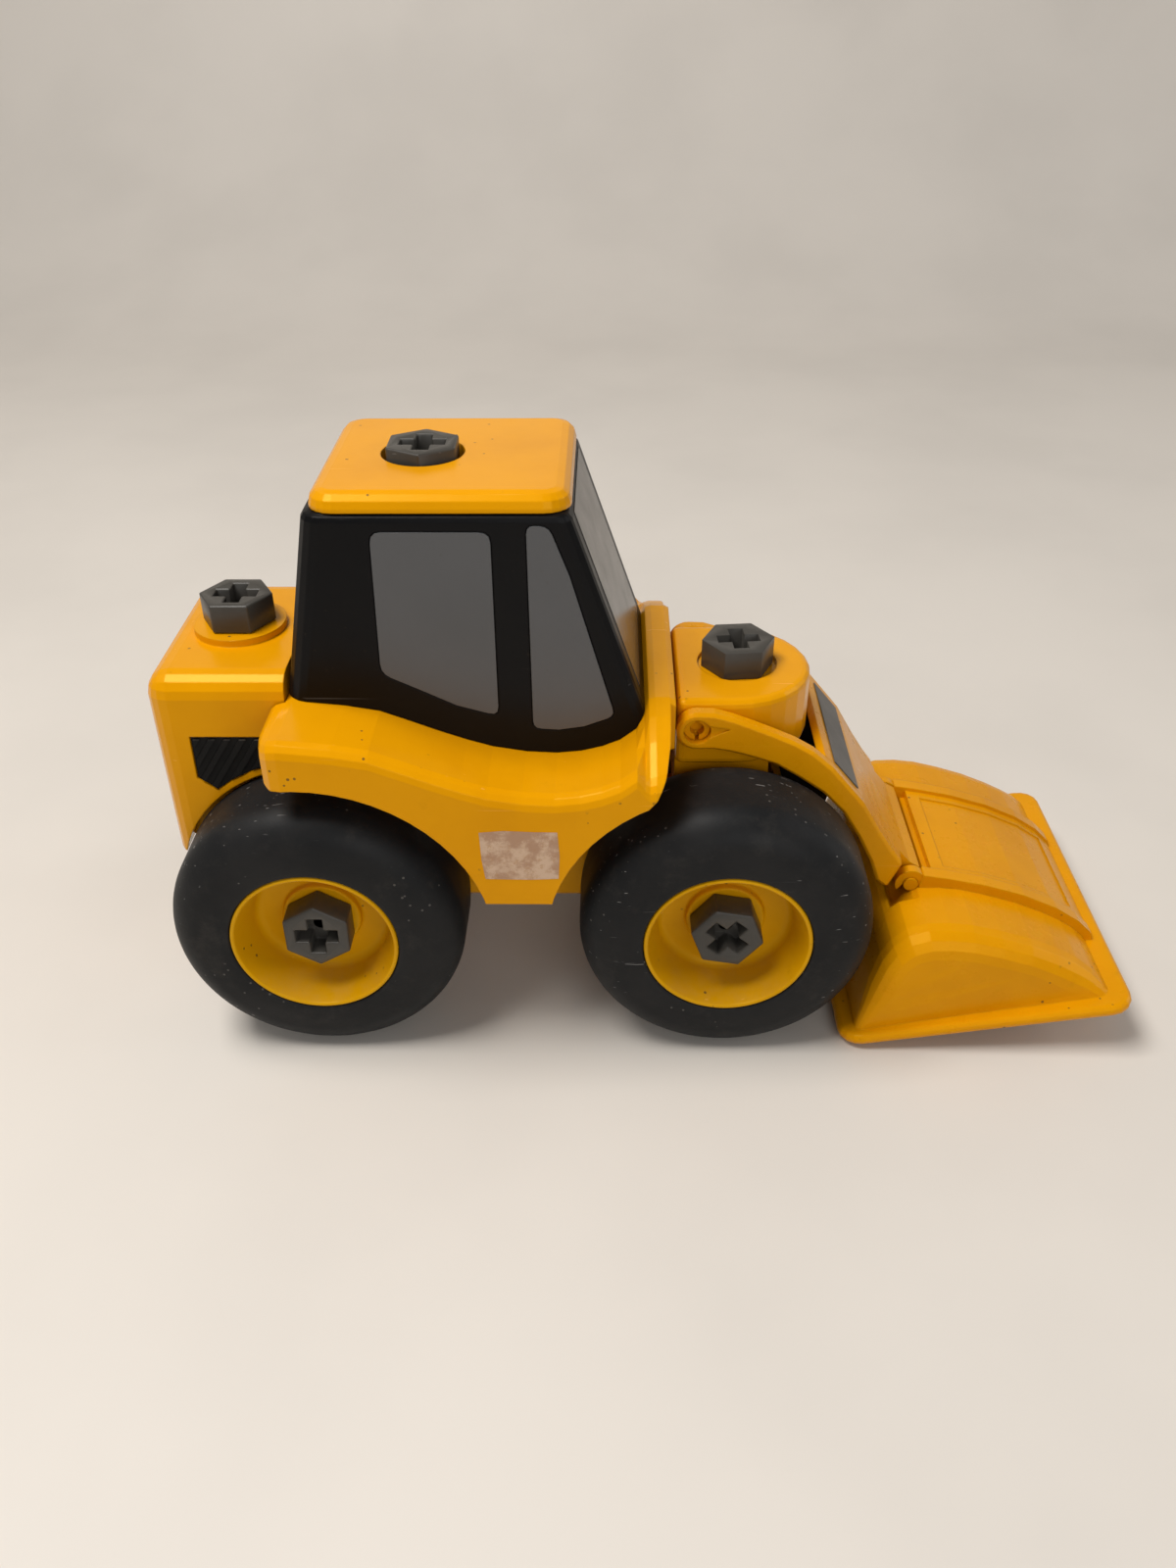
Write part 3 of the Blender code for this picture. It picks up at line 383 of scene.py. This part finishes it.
def make_screw(name, node, mat):
    """Hexagonal head with a cross recess and softened edges, on a smooth shank."""
    low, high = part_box(node)
    screw = SCREWS[node]
    spin = math.radians(screw["spin"])
    corner = 0.5 * HEAD_AF / math.cos(math.pi / 6)
    hexagon = [(corner * math.cos(math.pi / 3 * i + spin), corner * math.sin(math.pi / 3 * i + spin))
               for i in range(6)]
    head = prism(name, hexagon, 0.0, HEAD_H)
    recess = HEAD_H - CROSS_DEPTH
    for turn in (0.0, math.pi / 2):
        a, b = CROSS_SPAN / 2, CROSS_ARM / 2
        bar = prism("bar", [(-a, -b), (a, -b), (a, b), (-a, b)], recess, HEAD_H + BAR_OVER)
        bar.data.transform(Matrix.Rotation(spin + turn, 4, "Z"))
        combine(head, bar, "DIFFERENCE")
    dimple = prism("dimple", ring(DIMPLE_R), recess - DIMPLE_DEPTH, HEAD_H + DIMPLE_OVER)
    combine(head, dimple, "DIFFERENCE")
    soften(head, HEAD_EDGE, 3)
    combine(head, prism("shank", ring(SHANK_R), -SHANK_LENGTH, SHANK_OVERLAP), "UNION")
    out = Vector(screw["out"])
    head.data.transform(Vector((0, 0, 1)).rotation_difference(out).to_matrix().to_4x4())
    top = max(Vector(high).dot(out), Vector(low).dot(out))
    seat = Vector(screw["axis"]) + out * (top - HEAD_H * MM)
    head.data.transform(Matrix.Translation(seat))
    head.data.materials.clear()
    head.data.materials.append(mat)
    head.data.shade_smooth()
    head.data.set_sharp_from_angle(angle=math.radians(40.0))
    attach(head, node)
    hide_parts(node)


# each screw: the turn of its head in degrees, the way it comes out, and a point on its axis
SCREWS = {
    "roof_screw": {"spin": 90.0, "out": (0, 0, 1), "axis": (-0.083, 0, 0)},
    "engine_screw": {"spin": 0.0, "out": (0, 0, 1), "axis": (-0.1573, 0, 0)},
    "front_screw": {"spin": 5.0, "out": (0, 0, 1), "axis": (0.0308, 0, 0)},
}
WHEEL_SPINS = (("rear", "right", 90.0), ("front", "right", 50.0),
               ("rear", "left", 75.0), ("front", "left", 100.0))
for _where, _side, _spin in WHEEL_SPINS:
    SCREWS["wheel_screw_%s_%s" % (_where, _side)] = {
        "spin": _spin, "out": (0, SIDES[_side], 0), "axis": (AXLES[_where], 0, AXLE_Z)}


def make_residue(mat):
    """Thin torn paper patch on the right skirt."""
    low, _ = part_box("fender_body")
    face = low[1] / MM - PAPER_GAP
    outline = [(-63.4, 105.0), (-55.0, 105.8), (-44.0, 105.3), (-36.0, 105.2), (-35.4, 95.0), (-35.9, 84.9),
               (-46.0, 84.4), (-62.0, 84.7), (-63.0, 93.0)]
    patch = prism("label_residue", outline, face - PAPER_OUT, face + PAPER_IN, mat, along="y")
    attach(patch, "fender_body")


def dress(node, mat):
    """Gives a carried-over CAD node its finished material."""
    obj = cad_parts[node]
    for entry in obj.material_slots:
        entry.material = mat


def add_light(name, place, target, width, power, colour=(1.0, 1.0, 1.0)):
    data = bpy.data.lights.new(name, "AREA")
    data.shape = "RECTANGLE"
    data.size = width
    data.size_y = width * 0.7
    data.energy = power
    data.color = colour
    obj = bpy.data.objects.new(name, data)
    obj.location = place
    obj.rotation_euler = (Vector(target) - Vector(place)).to_track_quat("-Z", "Y").to_euler()
    bpy.context.scene.collection.objects.link(obj)


def make_stage():
    """Pale floor that curves up into a plain backdrop."""
    half, back, radius, wall_top = 2500.0, 900.0, 500.0, 2200.0
    bend = [math.radians(7.5 * i) for i in range(13)]
    line = [(-half, 0.0)]
    line += [(back + radius * math.sin(a), radius * (1 - math.cos(a))) for a in bend]
    line += [(back + radius, wall_top)]
    verts = [(x, y, z) for y, z in line for x in (-half, half)]
    faces = [[2 * i, 2 * i + 1, 2 * i + 3, 2 * i + 2] for i in range(len(line) - 1)]
    floor = add_mesh("floor", verts, faces, stage_material("pale_floor", (0.70, 0.655, 0.60)), 60.0)


def make_camera():
    yaw, pitch, roll = CAMERA_YAW, CAMERA_PITCH, CAMERA_ROLL
    ahead = Vector((-math.sin(yaw) * math.cos(pitch), math.cos(yaw) * math.cos(pitch), -math.sin(pitch)))
    right = Vector((math.cos(yaw), math.sin(yaw), 0.0))
    up = right.cross(ahead)
    side = right * math.cos(roll) + up * math.sin(roll)
    top = up * math.cos(roll) - right * math.sin(roll)
    data = bpy.data.cameras.new("camera")
    data.lens = CAMERA_LENS
    data.sensor_width = 36.0
    cam = bpy.data.objects.new("camera", data)
    turn = Matrix((side, top, -ahead)).transposed().to_4x4()
    cam.matrix_world = Matrix.Translation(CAMERA_PLACE) @ turn
    bpy.context.scene.collection.objects.link(cam)
    bpy.context.scene.camera = cam


def make_world():
    world = bpy.data.worlds.new("studio")
    world.use_nodes = True
    shade = world.node_tree.nodes["Background"]
    shade.inputs["Color"].default_value = (1.0, 0.985, 0.97, 1.0)
    shade.inputs["Strength"].default_value = 0.21
    bpy.context.scene.world = world
    bpy.context.scene.view_settings.view_transform = "Standard"


yellow = plastic("body_yellow", (0.74, 0.315, 0.0006), (0.68, 0.280, 0.0006), 0.22, sheen_colour=WARM)
arm_yellow = plastic("arm_yellow", (0.70, 0.295, 0.0006), (0.63, 0.255, 0.0006), 0.29, through=0.12,
                     sheen_colour=WARM)
rim_yellow = plastic("rim_yellow", (0.66, 0.33, 0.001), (0.58, 0.28, 0.001), 0.34, grime=0.8, dust=0.10,
                     sheen_colour=WARM)
black = plastic("cab_black", (0.0035, 0.0035, 0.0041), (0.0052, 0.0050, 0.0050), 0.34, specks=0.2,
                grime=0.2, sheen=0.12)
grille = plastic("grille_black", (0.008, 0.0078, 0.0075), (0.014, 0.013, 0.012), 0.6, dust=0.15,
                 soft_edge=0.0003, sheen=0.12)
grey = plastic("window_grey", (0.094, 0.096, 0.100), (0.087, 0.089, 0.092), 0.34, specks=0.2, grime=0.1,
               soft_edge=0.0004)
front_grey = plastic("windshield_grey", (0.055, 0.046, 0.041), (0.049, 0.042, 0.038), 0.18, specks=0.2,
                     grime=0.1, soft_edge=0.0004, sheen=0.2)
screw_grey = plastic("screw_grey", (0.058, 0.054, 0.047), (0.044, 0.040, 0.034), 0.36, specks=0.4,
                     scratch=0.03, soft_edge=0.0)
label_grey = plastic("label_grey", (0.085, 0.080, 0.075), (0.12, 0.11, 0.10), 0.45, specks=0.3, scratch=0.05,
                     soft_edge=0.0)
charcoal = tyre_material()

FINISHES = {
    "chassis": yellow, "fender_body": yellow, "engine_cover": yellow, "cab_roof": yellow,
    "front_block": yellow, "loader_arm": arm_yellow, "bucket": arm_yellow, "cab_shell": black,
    "grille_right": grille, "grille_left": grille, "windshield": front_grey, "arm_label": label_grey,
    "door_window_right": grey, "door_window_left": grey, "quarter_window_right": grey,
    "quarter_window_left": grey}
for _node, _finish in FINISHES.items():
    dress(_node, _finish)

for _where in AXLES:
    for _side in SIDES:
        make_tyre(_where, _side, charcoal)
        make_rim(_where, _side, rim_yellow)
for _node in SCREWS:
    make_screw("toy_" + _node, _node, screw_grey)
make_residue(paper_material())

make_stage()
add_light("key", (-0.6, -0.2, 1.5), (0.0, 0.0, 0.05), 0.8, 23.0, (1.0, 0.97, 0.93))
add_light("front_fill", (0.5, -1.5, 0.7), (0.0, 0.0, 0.08), 1.2, 7.0)
add_light("right_fill", (1.6, 0.2, 0.8), (0.0, 0.0, 0.08), 1.0, 5.0)
make_world()
make_camera()
